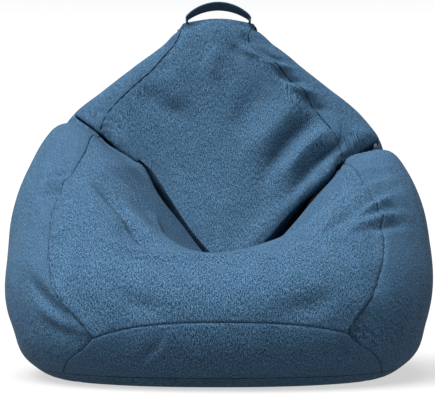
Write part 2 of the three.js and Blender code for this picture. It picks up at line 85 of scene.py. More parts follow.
studio = bpy.data.worlds.new("studio")
studio.use_nodes = True
studio_nodes = studio.node_tree.nodes
direction = studio_nodes.new("ShaderNodeTexCoord")
split = studio_nodes.new("ShaderNodeSeparateXYZ")
wall = studio_nodes.new("ShaderNodeValToRGB")
wall.color_ramp.elements[0].position = 0.14
wall.color_ramp.elements[0].color = (1.05, 1.05, 1.05, 1)
wall.color_ramp.elements[1].position = 0.34
wall.color_ramp.elements[1].color = (0.42, 0.44, 0.47, 1)
studio.node_tree.links.new(direction.outputs["Generated"], split.inputs[0])
studio.node_tree.links.new(split.outputs["Z"], wall.inputs[0])
studio.node_tree.links.new(wall.outputs[0], studio_nodes["Background"].inputs["Color"])
scene.world = studio
scene.view_settings.view_transform = "Standard"


class Sum:
    """A node socket that can be used in ordinary arithmetic; each operator adds a Math node."""

    def __init__(self, finish, socket):
        self.finish, self.socket = finish, socket

    def maths(self, operation, *others):
        return self.finish.node("ShaderNodeMath", {"operation": operation}, [self, *others])

    def __add__(self, other):
        return self.maths("ADD", other)

    def __sub__(self, other):
        return self.maths("SUBTRACT", other)

    def __rsub__(self, other):
        return self.finish.node("ShaderNodeMath", {"operation": "SUBTRACT"}, [other, self])

    def __mul__(self, other):
        return self.maths("MULTIPLY", other)

    __radd__, __rmul__ = __add__, __mul__


class Finish:
    """A material and its nodes."""

    def __init__(self, name, **constants):
        self.material = bpy.data.materials.new(name)
        self.material.use_nodes = True
        self.tree = self.material.node_tree
        self.shader = self.tree.nodes["Principled BSDF"]
        for socket, value in constants.items():
            self.shader.inputs[socket.replace("_", " ")].default_value = value

    def node(self, kind, settings=None, inputs=None, output=0):
        made = self.tree.nodes.new(kind)
        for name, value in (settings or {}).items():
            if name == "stops":
                ramp = made.color_ramp
                while len(ramp.elements) < len(value):
                    ramp.elements.new(0.5)
                for stop, (place, colour) in zip(ramp.elements, value):
                    stop.position, stop.color = place, colour
            else:
                setattr(made, name, value)
        pairs = inputs.items() if isinstance(inputs, dict) else enumerate(inputs or [])
        for name, value in pairs:
            self.join(made.inputs[name], value)
        return Sum(self, made.outputs[output])

    def join(self, socket, value):
        if isinstance(value, Sum):
            self.tree.links.new(value.socket, socket)
        else:
            socket.default_value = value

    def set(self, name, value):
        self.join(self.shader.inputs[name], value)

    def mix(self, share, first, second):
        inputs = {"Factor": share, 6: first, 7: second}
        return self.node("ShaderNodeMix", {"data_type": "RGBA"}, inputs, output=2)

    def noise(self, vector, scale, detail=2.0, roughness=0.5):
        inputs = {"Vector": vector, "Scale": scale, "Detail": detail, "Roughness": roughness}
        return self.node("ShaderNodeTexNoise", {"noise_dimensions": "3D"}, inputs, output=0)

    def stretched(self, vector, scale):
        return self.node("ShaderNodeMapping", {"vector_type": "POINT"}, {"Vector": vector, "Scale": scale})

    def coordinates(self, name):
        return self.node("ShaderNodeTexCoord", output=name)


FLOOR_HALF = 30
floor_mesh = bpy.data.meshes.new("studio_floor")
floor = bpy.data.objects.new("studio_floor", floor_mesh)
shape = bmesh.new()
bmesh.ops.create_grid(shape, x_segments=1, y_segments=1, size=FLOOR_HALF)
shape.to_mesh(floor_mesh)
shape.free()
scene.collection.objects.link(floor)
floor_finish = Finish("studio_white", Base_Color=(0.11, 0.11, 0.11, 1), Roughness=0.9,
                      Specular_IOR_Level=0.0, Emission_Color=(1, 1, 1, 1), Emission_Strength=0.6)
floor_mesh.materials.append(floor_finish.material)


# The bag's form: beads poured into a pear-shaped cover, and pressed in at the front by a sitter. Every piece
# of the cover and of the liner, and the filling itself, is cut from this one form. Each level section of the
# pear is an oval. The hollow lies above the seat and in front of the backrest.
HALF_WIDTH = [(0, .375), (.04, .425), (.12, .460), (.25, .475), (.36, .467), (.46, .443), (.545, .405),
              (.61, .355), (.67, .279), (.73, .204), (.785, .140), (.835, .087)]
FRONT = [(0, -.345), (.04, -.412), (.15, -.465), (.23, -.436), (.30, -.365), (.45, -.19), (.60, .02),
         (.74, .16), (.835, .235)]
BACKREST = [(.15, 0), (.25, .06), (.40, .13), (.56, .185), (.70, .22), (.835, .245)]
LEFT_SEAM = [(0, -.32), (.02, -.32), (.055, -.303), (.101, -.243), (.145, -.287), (.18, -.318),
             (.24, -.343), (.33, -.352), (.4, -.342), (.44, -.322), (.495, -.298), (.55, -.284),
             (.61, -.262), (.66, -.214), (.715, -.155), (.765, -.116), (.835, -.08)]
RIGHT_SEAM = [(0, .34), (.02, .34), (.072, .309), (.111, .252), (.14, .268), (.177, .302), (.237, .33),
              (.3, .341), (.36, .342), (.42, .317), (.466, .302), (.54, .283), (.593, .248), (.645, .214),
              (.686, .178), (.722, .138), (.764, .09), (.8, .074), (.835, .078)]
BACK_SEAM = [(0, .27), (.15, .33), (.30, .33), (.45, .295), (.62, .215), (.76, .12), (.835, .080)]
OVAL_POWER = 2.3
TOP_ROUNDING, FOOT_ROUNDING = 0.04, 0.02
BACK_RADIUS = 1.1
BACK_ARC_TOP = 0.70
BACK_TUCK, BACK_TUCK_TOP = 0.075, 0.11
back_middle = Vector((0, (cad_high.y - cad_low.y) / 2 - BACK_RADIUS, 0.24))
bag_top = 0.835
rim_height = 0.022
ridge_y, ridge_side, ridge_half = 0.272, 0.003, 0.079

SEAT_FRONT_HEIGHT, SEAT_LOW_HEIGHT = 0.280, 0.215
SEAT_OFFSET = 0.035
SEAT_ROUND_FRONT, SEAT_ROUND_BACK = 0.200, 0.040
SEAT_SLOPE, LEFT_ARM_SLOPE, RIGHT_ARM_SLOPE = 1.05, 1.34, 1.15
ARM_SHOULDER, LEFT_ARM_EASE, RIGHT_ARM_EASE = 0.25, 0.58, 0.60
REST_CURL = 0.25
HOLLOW_ROUNDING = 0.014
LOW_EDGE_ROUNDING, HIGH_EDGE_ROUNDING = 0.095, 0.045


def curve(knots, at):
    """A smooth curve through knots."""
    x, y = (np.array(values, float) for values in zip(*knots))
    slope = np.gradient(y, x)
    at = np.clip(at, x[0], x[-1])
    k = np.clip(np.searchsorted(x, at, side="right") - 1, 0, len(x) - 2)
    span = x[k + 1] - x[k]
    t = (at - x[k]) / span
    rise = t * t * (3 - 2 * t)
    bend = slope[k] * t * (1 - t) ** 2 - slope[k + 1] * t * t * (1 - t)
    return y[k] + (y[k + 1] - y[k]) * rise + span * bend


def ease(low, high, at):
    """A smooth step from 0 at low to 1 at high."""
    t = np.clip((at - low) / (high - low), 0, 1)
    return t * t * (3 - 2 * t)


def blend_to(a, b, share):
    return a + (b - a) * share


def rounded_max(a, b, width):
    """The larger of two fields, with the edge between them rounded."""
    near = np.maximum(width - np.abs(a - b), 0) / width
    return np.maximum(a, b) + near * near * width / 4


def back_at(z):
    """How far back the middle of the back lies, at a height."""
    up = np.minimum(z, BACK_ARC_TOP) - back_middle.z
    out = np.sqrt(BACK_RADIUS ** 2 - up ** 2)
    tuck = BACK_TUCK * (1 - ease(0, BACK_TUCK_TOP, z)) ** 2
    return back_middle.y + out - np.maximum(z - BACK_ARC_TOP, 0) * up / out - tuck


def pear(p):
    """Roughly how far a place is outside the pear."""
    x, y, z = p[..., 0], p[..., 1], p[..., 2]
    half, front, back = curve(HALF_WIDTH, z), curve(FRONT, z), back_at(z)
    middle, deep, power = (front + back) / 2, (back - front) / 2, OVAL_POWER
    oval = (np.abs(x / half) ** power + np.abs((y - middle) / deep) ** power + 1e-9) ** (1 / power)
    side = (oval - 1) * np.minimum(half, deep) * 0.8
    return rounded_max(rounded_max(side, z - bag_top, TOP_ROUNDING), -z, FOOT_ROUNDING)


def seat_height(x, y):
    """The seat dips to the back and climbs on both sides into the arms, which ease off at their shoulders."""
    back = ease(-0.38, 0.05, y)
    aside = x - SEAT_OFFSET * back
    left = aside < 0
    round_half = blend_to(SEAT_ROUND_FRONT, SEAT_ROUND_BACK, back)
    slope = blend_to(SEAT_SLOPE, np.where(left, LEFT_ARM_SLOPE, RIGHT_ARM_SLOPE), back)
    rise = slope * (np.hypot(aside, round_half) - round_half)
    eased = np.where(left, LEFT_ARM_EASE, RIGHT_ARM_EASE)
    lift = np.where(rise > ARM_SHOULDER, ARM_SHOULDER + (rise - ARM_SHOULDER) * eased, rise)
    return blend_to(SEAT_FRONT_HEIGHT, SEAT_LOW_HEIGHT, ease(-0.36, -0.05, y)) + lift


def above_seat(p):
    return (seat_height(p[..., 0], p[..., 1]) - p[..., 2]) * 0.62


def before_rest(p):
    return (p[..., 1] - curve(BACKREST, p[..., 2]) - REST_CURL * p[..., 0] ** 2) * 0.93


def bag(p):
    """Roughly how far a place is outside the bag; the hollow's edge is soft low down and tighter above."""
    hollow = rounded_max(above_seat(p), before_rest(p), HOLLOW_ROUNDING)
    edge = blend_to(LOW_EDGE_ROUNDING, HIGH_EDGE_ROUNDING, ease(0.40, 0.56, p[..., 2]))
    return rounded_max(pear(p), -hollow, edge)


# The grid that the cloth is cut on: columns run up the bag and rows run round it, with the seams on grid
# lines. It is laid roughly by a few guides, then evened out and put back on the form again and again, first
# coarse and then fine.
FRONT_COLUMNS, SIDE_COLUMNS, BACK_COLUMNS, ROWS, LOW_SEAM_ROW = 36, 18, 28, 48, 5
GUIDES = {
    "middle": [(0, -.36, .03), (0, -.46, .14), (0, -.36, .27), (0, -.10, .20), (0, .03, .20),
               (0, .12, .50)],
    "knee": [(.20, -.30, .03), (.19, -.41, .13), (.20, -.32, .30), (.16, -.10, .30), (.15, .06, .36),
             (.15, .12, .52)],
    "seam": [(.345, -.20, .03), (.28, -.36, .115), (.37, -.20, .30), (.33, 0, .47), (.27, .14, .56)],
    "side": [(.40, .05, .03), (.475, .05, .25), (.37, .12, .55), (.30, .20, .62)],
    "back_seam": [(.27, .27, .03), (.33, .33, .25), (.27, .32, .50)],
    "back": [(0, .38, .03), (0, .465, .23), (0, .41, .58)],
}


def marks(fine):
    """The columns of the right front and back seams, the middle of the back and the left back seam, and the
    number of columns. The left front seam is column 0."""
    right_front = FRONT_COLUMNS * fine
    right_back = right_front + SIDE_COLUMNS * fine
    left_back = right_back + BACK_COLUMNS * fine
    middle = (right_back + left_back) // 2
    return right_front, right_back, middle, left_back, left_back + SIDE_COLUMNS * fine


def ridge(fine):
    """The row along the top seam, a narrow loop round the handle's two feet."""
    right_front, right_back, _, left_back, columns = marks(fine)
    stops = [0, right_front, right_back, left_back, columns]
    at = np.arange(columns)
    x = np.interp(at, stops, [-ridge_half, ridge_half, ridge_half, -ridge_half, -ridge_half])
    y = ridge_y + np.interp(at, stops, [-ridge_side, -ridge_side, ridge_side, ridge_side, -ridge_side])
    return np.stack([x, y, np.full(columns, bag_top - 0.0005)], -1)


def first_grid():
    """Columns drawn through the guides, and evenly between them."""
    right_front, right_back, middle, left_back, columns = marks(1)
    top = ridge(1)
    places = [(0, "seam", -1), (right_front // 4, "knee", -1), (right_front // 2, "middle", 1),
              (right_front * 3 // 4, "knee", 1), (right_front, "seam", 1),
              ((right_front + right_back) // 2, "side", 1), (right_back, "back_seam", 1), (middle, "back", 1),
              (left_back, "back_seam", -1), ((left_back + columns) // 2, "side", -1), (columns, "seam", -1)]
    share = np.linspace(0, 1, ROWS + 1)
    lines = []
    for column, name, side in places:
        points = np.array(GUIDES[name]) * (side, 1, 1)
        points = np.vstack([points, top[column % columns]])
        run = np.concatenate([[0], np.cumsum(np.linalg.norm(np.diff(points, axis=0), axis=1))])
        lines.append([np.interp(share * run[-1], run, points[:, k]) for k in range(3)])
    known = [place[0] for place in places]
    lines = np.array(lines)
    at = np.arange(columns)
    flat = lines.reshape(len(known), -1)
    grid = np.stack([np.interp(at, known, flat[:, k]) for k in range(flat.shape[1])], -1)
    return grid.reshape(columns, 3, ROWS + 1).transpose(0, 2, 1)


LOW_SEAM_HEIGHT, LOW_SEAM_LEFT_DROP, LOW_SEAM_RIGHT_DROP = 0.137, 0.036, 0.026


def settle(grid, fine, passes):
    """Even the grid out, put it back on the form and its seams back on their lines, many times over."""
    right_front, right_back, middle, left_back, columns = marks(fine)
    seams = [(0, LEFT_SEAM, 1), (right_front, RIGHT_SEAM, 1), (right_back, BACK_SEAM, 1),
             (left_back, BACK_SEAM, -1)]
    held = [0, right_front, right_back, left_back, middle]
    low = LOW_SEAM_ROW * fine
    front = slice(0, right_front + 1)
    aside = np.linspace(-1, 1, right_front + 1)
    drop = np.where(aside < 0, LOW_SEAM_LEFT_DROP, LOW_SEAM_RIGHT_DROP)
    low_height = LOW_SEAM_HEIGHT - drop * np.abs(aside) ** 2.5
    top = ridge(fine)
    for _ in range(passes):
        even = (np.roll(grid, 1, 0) + np.roll(grid, -1, 0)) / 2
        rows = even[:, 1:-1].copy()
        rows = (rows + (grid[:, 2:] + grid[:, :-2]) / 2) / 2
        rows[front, low - 1] = even[front, low]
        even[:, 1:-1] = rows
        grid = even
        grid[:, 0, 2] = rim_height
        grid[front, low, 2] = low_height
        here = bag(grid)
        slope = np.empty_like(grid)
        step = 2e-4
        for axis in range(3):
            ahead = grid.copy()
            ahead[..., axis] += step
            slope[..., axis] = (bag(ahead) - here) / step
        slope[held, :, 0] = 0
        slope[:, 0, 2] = 0
        slope[front, low, 2] = 0
        move = here[..., None] * slope / np.maximum((slope ** 2).sum(-1, keepdims=True), 0.1)
        far = np.linalg.norm(move, axis=-1, keepdims=True)
        grid = grid - move * np.minimum(1, 0.03 / (far + 1e-9))
        for column, knots, side in seams:
            grid[column, :, 0] = side * curve(knots, grid[column, :, 2])
        grid[middle, :, 0] = 0
        even_x = blend_to(grid[0, :, 0], grid[right_front, :, 0], (aside[:, None] + 1) / 2)
        grid[front, :, 0] += 0.5 * ease(0.66, 0.74, grid[front, :, 2]) * (even_x - grid[front, :, 0])
        grid[:, -1] = top
    return grid


def finer(grid):
    """Twice the columns and rows, each new one halfway between its neighbours."""
    columns, rows, _ = grid.shape
    wide = np.zeros((2 * columns, rows, 3))
    wide[::2] = grid
    wide[1::2] = (grid + np.roll(grid, -1, 0)) / 2
    tall = np.zeros((2 * columns, 2 * rows - 1, 3))
    tall[:, ::2] = wide
    tall[:, 1::2] = (wide[:, :-1] + wide[:, 1:]) / 2
    return tall


FINE = 2
form = settle(finer(settle(first_grid(), 1, 260)), FINE, 40)
right_front, right_back, back_column, left_back, columns = marks(FINE)


# The cloth. Where the seat and the backrest are pressed together, the cover folds into a deep crease, so the
# grid's rows are packed closer there. Softer folds run where the cloth is slack.
def cubic_rows(grid, at):
    """The grid read at fractional rows, one list of rows for each column."""
    last = grid.shape[1] - 1
    k = np.clip(np.floor(at).astype(int), 0, last - 1)
    t = (at - k)[..., None]
    across = np.arange(grid.shape[0])[:, None]
    before, here, there, after = (grid[across, np.clip(k + step, 0, last)] for step in (-1, 0, 1, 2))
    bend = 2 * here + (there - before) * t + (2 * before - 5 * here + 4 * there - after) * t ** 2
    return (bend + (3 * here - 3 * there + after - before) * t ** 3) / 2


PACKING = 4.5


def gather_rows(grid, low, rows):
    """Spread a new number of rows above the low seam, closer together beside the crease."""
    hollow = np.maximum(above_seat(grid), before_rest(grid))
    beside = np.abs(above_seat(grid) - before_rest(grid))
    close = 1 + PACKING * np.exp(-(beside / 0.035) ** 2) * np.exp(-np.maximum(hollow, 0) / 0.05)
    run = np.linalg.norm(np.diff(grid, axis=1), axis=-1) * (close[:, 1:] + close[:, :-1]) / 2
    run[:, :low] = run[:, :low].mean()
    total = np.concatenate([np.zeros((len(grid), 1)), np.cumsum(run[:, low:], axis=1)], axis=1)
    share = np.linspace(0, 1, rows)
    at = np.array([np.interp(share * line[-1], line, np.arange(len(line))) for line in total]) + low
    for _ in range(12):
        at[:, 1:-1] = (np.roll(at, 1, 0) + np.roll(at, -1, 0) + 2 * at)[:, 1:-1] / 4
    fixed = np.tile(np.arange(low, dtype=float), (len(grid), 1))
    return cubic_rows(grid, np.concatenate([fixed, at], axis=1))


def facing(grid, smoothing=3):
    """The grid's unit normals, outwards, evened out with their neighbours'."""
    across = np.roll(grid, -1, 0) - np.roll(grid, 1, 0)
    along = np.gradient(grid, axis=1)
    normal = np.cross(across, along)
    normal[:, -1] = (0, 0, 1e-5)
    for _ in range(smoothing):
        normal = normal + (np.roll(normal, 1, 0) + np.roll(normal, -1, 0)) / 2
        normal[:, 1:-1] += (normal[:, 2:] + normal[:, :-2]) / 2
    return normal / (np.linalg.norm(normal, axis=-1, keepdims=True) + 1e-12)


def slope_of(field, p):
    """The direction in which a field grows fastest, and how fast."""
    step = 1e-4
    here = field(p)
    ahead = [field(p + step * np.eye(3)[axis]) - here for axis in range(3)]
    return np.stack(ahead, -1) / step


def finer_columns(grid):
    """Twice the columns, on smooth curves round the bag."""
    count = len(grid)
    ringed = np.concatenate([grid[-2:], grid, grid[:3]]).transpose(1, 0, 2)
    at = np.tile(np.arange(2, count + 2, 0.5), (ringed.shape[0], 1))
    return cubic_rows(ringed, at).transpose(1, 0, 2)


def length_of(vectors):
    return np.linalg.norm(vectors, axis=-1, keepdims=True)


CLOTH_ROWS = 250
low_row = LOW_SEAM_ROW * FINE * 2
tall_form = cubic_rows(form, np.tile(np.arange(0, form.shape[1] - 0.9, 0.5), (columns, 1)))
cloth = finer_columns(gather_rows(tall_form, low_row, CLOTH_ROWS))
right_front, right_back, back_column, left_back, columns = marks(FINE * 2)
rows = cloth.shape[1]

# The crease: the backrest's roll overhangs the arms, and between them a slit runs back into the bag, no
# deeper than the bag is there. Beside it the cloth swells into two lips. A layer under the cover has the same
# crease, wider and deeper by the room that it keeps to the cover.
seat_slope, rest_slope = slope_of(above_seat, cloth), slope_of(before_rest, cloth)
seat_gap = above_seat(cloth) / length_of(seat_slope)[..., 0]
rest_gap = before_rest(cloth) / length_of(rest_slope)[..., 0]
z = cloth[..., 2]
on_right = cloth[..., 0] > 0
on_seat = seat_gap > rest_gap
away = np.abs(seat_gap - rest_gap)
up_rest = np.where(on_seat, rest_gap, -seat_gap)
right_gape = blend_to(0.0045, 0.0085, ease(0.50, 0.42, z))
left_gape = blend_to(0.0036, 0.0044, ease(0.52, 0.36, z))
gape = np.where(on_right, right_gape, left_gape)
slit_height = 1.1 * gape + np.where(on_right, 0, 0.007 * ease(0.30, 0.46, z))
dip = np.where(on_right, 0.012, 0.001) * np.exp(-(away / 0.030) ** 2)
lip = np.where(on_seat, 0.10, np.where(on_right, 0.35, 0.06)) * away * np.exp(-(away / 0.055) ** 3)
lip *= 0.35 + 0.65 * ease(0.22, 0.34, z)
straight_back = rest_slope / length_of(rest_slope)
swell = -np.where(on_seat[..., None], seat_slope / length_of(seat_slope), straight_back)
smooth, smooth_outward = cloth, facing(cloth, 6)
in_front = ease(0.20, 0.60, -smooth_outward[..., 1])[..., None]
into_bag = straight_back * in_front - smooth_outward * (1 - in_front)
hidden_room = 1 + 1.4 * ease(0.30, 0.12, cloth[..., 1])
half, front, back = curve(HALF_WIDTH, z), curve(FRONT, z), back_at(z)
bulge = np.maximum(1 - np.abs(cloth[..., 0] / half) ** OVAL_POWER, 0) ** (1 / OVAL_POWER)
behind_it = (front + back) / 2 + (back - front) / 2 * bulge - cloth[..., 1]
SLIT_DEPTH = 0.090
deepest = np.clip(0.5 * behind_it - 0.010, 0.008, SLIT_DEPTH)
column = np.arange(columns)
fading = 30
off_back = np.where(column < left_back, ease(right_back, right_back - fading, column),
                    ease(left_back, left_back + fading, column))
CREASE_END = 0.026


def creased(depth):
    """The smooth form drawn in by a depth, with the crease pressed into it."""
    inside = np.maximum(np.maximum(seat_gap, rest_gap) - 0.004, 0)
    fade = np.exp(-(inside / CREASE_END) ** 2) * ease(0.16, 0.20, z)
    fade *= off_back[:, None]
    room = depth * hidden_room
    slit = (deepest + room) * np.exp(-np.abs((up_rest - slit_height) / (gape + 0.8 * room)) ** 3.5)
    slit *= 0.18 + 0.82 * in_front[..., 0]
    moved = into_bag * (slit + dip)[..., None] + swell * lip[..., None]
    return smooth - smooth_outward * room[..., None] + moved * fade[..., None]


cloth = creased(0)

# The top seam bows up between the two ends of the handle, and the corners below them stand out a little.
before_folds = cloth.copy()
aside = np.minimum(np.abs(cloth[..., 0]) / ridge_half, 1)
TOP_BOW, TOP_BOW_FALL = 0.0095, 0.0115
cloth[..., 2] += (TOP_BOW - TOP_BOW_FALL * aside ** 2) * ease(0.76, 0.83, cloth[..., 2])
SHOULDER_SWELL = 0.008
shoulder = np.exp(-((cloth[..., 2] - 0.822) / 0.014) ** 2) * ease(0.045, 0.078, np.abs(cloth[..., 0]))
cloth[..., 0] += SHOULDER_SWELL * np.sign(cloth[..., 0]) * shoulder

# Soft folds, each drawn as a line across the front of the bag: its points as they are seen from the front,
# its width and its height. A negative height is a valley.
FOLDS = [
    # the left arm's inner edge hangs over a hollow beside the seat
    ([(-.278, .434), (-.222, .378), (-.165, .311), (-.120, .277)], .014, -.015),
    ([(-.262, .455), (-.205, .410), (-.143, .344), (-.100, .304)], .016, .008),
    ([(-.235, .350), (-.195, .315), (-.150, .285)], .030, -.010),
    ([(-.260, .305), (-.215, .278), (-.150, .266)], .012, .008),
    # short folds gathered beside the left arm's seam
    ([(-.392, .440), (-.360, .452), (-.333, .443)], .008, -.005),
    ([(-.398, .420), (-.365, .430), (-.335, .425)], .008, .005),
    ([(-.405, .398), (-.370, .408), (-.340, .402)], .009, -.005),
    ([(-.318, .432), (-.290, .415), (-.270, .390)], .012, .005),
    # the left flank: long pleats that run into the corner of the lower seam
    ([(-.440, .270), (-.370, .190), (-.285, .092)], .016, .007),
    ([(-.430, .215), (-.370, .150), (-.285, .088)], .012, -.008),
    ([(-.415, .165), (-.360, .115), (-.290, .082)], .012, .007),
    ([(-.400, .125), (-.350, .095), (-.300, .078)], .010, -.006),
    # the right arm: fine ridges fanned out from the bottom of the crease
    ([(.385, .470), (.310, .445), (.230, .375), (.180, .300)], .010, .007),
    ([(.400, .455), (.320, .425), (.245, .360), (.195, .300)], .009, -.006),
    ([(.405, .440), (.330, .410), (.255, .350), (.205, .300)], .008, .006),
    ([(.415, .425), (.345, .392), (.270, .340), (.215, .300)], .009, -.005),
    ([(.420, .400), (.350, .380), (.285, .335), (.230, .300)], .008, .006),
    ([(.425, .375), (.365, .372), (.300, .350), (.260, .320)], .009, -.006),
    ([(.430, .358), (.370, .352), (.310, .330), (.260, .300)], .008, .006),
    ([(.425, .335), (.375, .330), (.315, .315)], .010, -.006),
    ([(.350, .395), (.385, .385), (.430, .350)], .007, .004),
    # the backrest's right side: broad slanting folds down to the crease, and the roll above it
    ([(.270, .560), (.190, .500), (.125, .410)], .022, .012),
    ([(.300, .535), (.215, .470), (.150, .385)], .014, -.012),
    ([(.350, .510), (.250, .460), (.170, .380)], .018, .012),
    ([(.235, .590), (.160, .520), (.095, .430)], .018, -.010),
    ([(.200, .630), (.120, .550), (.065, .470)], .028, .010),
    ([(.120, .660), (.060, .590), (.030, .520)], .030, -.006),
    # the backrest's left side
    ([(-.250, .560), (-.190, .500), (-.130, .400)], .026, .010),
    ([(-.220, .560), (-.160, .480), (-.110, .390)], .020, -.008),
    ([(-.180, .650), (-.120, .600), (-.060, .570)], .022, -.006),
    ([(-.120, .700), (-.100, .640), (-.095, .580)], .024, .005),
    # puckers along the top of the right seam
    ([(.052, .775), (.066, .755), (.085, .748)], .010, -.0045),
    ([(.028, .748), (.040, .722), (.056, .706)], .012, -.006),
    ([(.050, .738), (.070, .722), (.095, .716)], .008, .005),
    ([(.085, .735), (.120, .712), (.165, .700)], .009, -.006),
    ([(.100, .715), (.135, .690), (.180, .685)], .009, .007),
    ([(.130, .680), (.160, .660), (.205, .655)], .009, -.007),
    ([(.150, .655), (.185, .635), (.235, .625)], .009, .007),
    ([(.180, .625), (.215, .600), (.260, .592)], .010, -.006),
    ([(.000, .740), (-.015, .700), (-.010, .650)], .020, .006),
    # the front roll and the panel below it
    ([(-.240, .285), (-.160, .262), (-.040, .262), (.100, .268), (.200, .262)], .022, .007),
    ([(-.230, .180), (-.180, .150), (-.090, .140)], .022, -.006),
    ([(.280, .180), (.210, .150), (.120, .140)], .022, -.006),
    ([(-.190, .010), (-.165, .035), (-.140, .055), (-.125, .085)], .009, -.004),
    ([(-.175, .008), (-.150, .032), (-.125, .052), (-.110, .082)], .009, .003),
    ([(.250, .020), (.280, .045), (.290, .075)], .012, -.005),
]
FOLD_HEIGHT = 1.5


def arc(points, axis):
    """Length along each line of a grid, from its first point."""
    run = np.linalg.norm(np.diff(points, axis=axis), axis=-1)
    return np.insert(np.cumsum(run, axis=axis), 0, 0, axis=axis)


def as_seen(p):
    """Where places seem to lie, from the front, on the upright plane through the middle of the bag."""
    near = camera_far / (camera_far + p[..., 1])
    across = aim.x + (p[..., 0] - aim.x) * near
    return np.stack([across, camera_height + (p[..., 2] - camera_height) * near], -1)


def laid_on(points, surface, outward):
    """A drawn line's points on the cloth, found looking from the front."""
    seen = outward[..., 1] < 0.05
    seen[right_back:left_back] = False
    spots, seen_at = surface[seen], as_seen(surface[seen])
    nearest = [((seen_at - point) ** 2).sum(-1) + 0.0012 * spots[:, 1] for point in points]
    return np.array([spots[gap.argmin()] for gap in nearest])


def along_line(points, surface):
    """Distance to the line and share of its length, for each point of the cloth."""
    steps = 24
    at = np.linspace(0, len(points) - 1, steps + 1)
    line = np.stack([np.interp(at, np.arange(len(points)), points[:, k]) for k in range(3)], -1)
    for _ in range(6):
        line[1:-1] = (line[:-2] + line[2:] + 2 * line[1:-1]) / 4
    gap = np.linalg.norm(surface[:, None, :] - line, axis=-1)
    return gap.min(-1), gap.argmin(-1) / steps


outward = facing(cloth)
raised = np.zeros(cloth.shape[:2])

# The cloth is slack between the seams, and each seam's thread draws it into small puckers. It stays flat
# beside the zip, at the foot and along the top seam.
SLACK_HEIGHT = 0.0060
RIPPLE_HEIGHT, RIPPLE_REACH = 0.0050, 0.07
PUCKER_HEIGHT, PUCKER_REACH, PUCKER_LENGTH = 0.0016, 0.016, 0.021
run = arc(np.concatenate([cloth, cloth[:1]]), 0)
along = arc(cloth, 1)
flat_places = cloth.reshape(-1, 3)
slack = np.array([noise.noise(Vector(place) * 7) for place in flat_places]).reshape(raised.shape)
ripple = np.array([noise.noise(Vector(place) * 16) for place in flat_places]).reshape(raised.shape)
for seam in (0, right_front, right_back, left_back):
    ends = (seam, columns) if seam == 0 else (seam,)
    beside = np.min([np.abs(run[:-1] - run[end]) for end in ends], axis=0)
    pull = np.exp(-beside / PUCKER_REACH)
    raised += PUCKER_HEIGHT * pull * np.sin(along * (2 * math.pi / PUCKER_LENGTH) + 5 * ripple)
    raised += RIPPLE_HEIGHT * ripple * np.exp(-(beside / RIPPLE_REACH) ** 2)
raised += SLACK_HEIGHT * slack
behind = np.zeros(columns, bool)
behind[right_back:left_back] = True
raised *= np.where(behind[:, None], ease(0.012, 0.06, np.abs(cloth[..., 0])), 1)
raised *= ease(0.03, 0.09, cloth[..., 2]) * ease(0.83, 0.78, cloth[..., 2])

# The drawn folds.
for points, width, height in FOLDS:
    line = laid_on(points, cloth, outward)
    reach = 2.5 * width
    close = ((cloth > line.min(0) - reach) & (cloth < line.max(0) + reach)).all(-1)
    gap, share = along_line(line, cloth[close])
    taper = 0.15 + 0.85 * ease(0, 0.35, share) * ease(1.0, 0.6, share)
    raised[close] += FOLD_HEIGHT * height * taper * np.exp(-(gap / width) ** 2)
cloth = cloth + outward * raised[..., None]
folded = cloth - before_folds

# The cover's panels: a heavy woven polyester in close shades of blue, cut as one front panel, a lower front
# panel, two sides and two back halves. Their edges are turned in and sewn together from the inside, and the
# two back halves stop beside the zip.
outward = facing(cloth)
whole = np.concatenate([cloth, cloth[:1]])
outward_whole = np.concatenate([outward, outward[:1]])


def grid_piece(name, places):
    """A mesh laid on a grid of places, with the cloth's own measure as its UV map."""
    wide, tall = places.shape[0] - 1, places.shape[1] - 1
    across, along = arc(places, 0), arc(places, 1)
    across = across - across[wide // 2]
    mesh = bpy.data.meshes.new(name)
    piece = bpy.data.objects.new(name, mesh)
    shape = bmesh.new()
    bmesh.ops.create_grid(shape, x_segments=wide, y_segments=tall, size=1)
    pattern = shape.loops.layers.uv.new("weave")
    for vertex in shape.verts:
        column = round((vertex.co.x + 1) / 2 * wide)
        row = round((vertex.co.y + 1) / 2 * tall)
        vertex.co = places[column, row]
        for loop in vertex.link_loops:
            loop[pattern].uv = (across[column, row], along[column, row])
    shape.to_mesh(mesh)
    shape.free()
    scene.collection.objects.link(piece)
    return piece


def turned_in(places, normals, depth=0.006, edge=0.0025):
    """Round a panel's four edges and turn them in, as its seam allowance is."""
    places, normals = places.copy(), normals.copy()
    for axis in (0, 1):
        for _ in range(2):
            places, normals = np.swapaxes(places, 0, axis)[::-1], np.swapaxes(normals, 0, axis)[::-1]
            away = places[1] - places[0]
            away = away / (length_of(away) + 1e-9)
            support = places[0] + away * edge - normals[0] * edge * 0.15
            border = places[0] + away * 0.0003 - normals[0] * edge
            places = np.concatenate([[places[0] - normals[0] * depth], [border], [support], places[1:]])
            normals = np.concatenate([normals[:1], normals[:1], normals])
            places, normals = np.swapaxes(places, 0, axis), np.swapaxes(normals, 0, axis)
    return places


def finish_cloth(piece, material, thick=0):
    """Give a piece its material, smooth shading and, if it has one, its thickness."""
    piece.data.materials.append(material)
    for face in piece.data.polygons:
        face.use_smooth = True
    if thick:
        wall = piece.modifiers.new("thickness", "SOLIDIFY")
        wall.thickness = thick
        wall.offset = -1


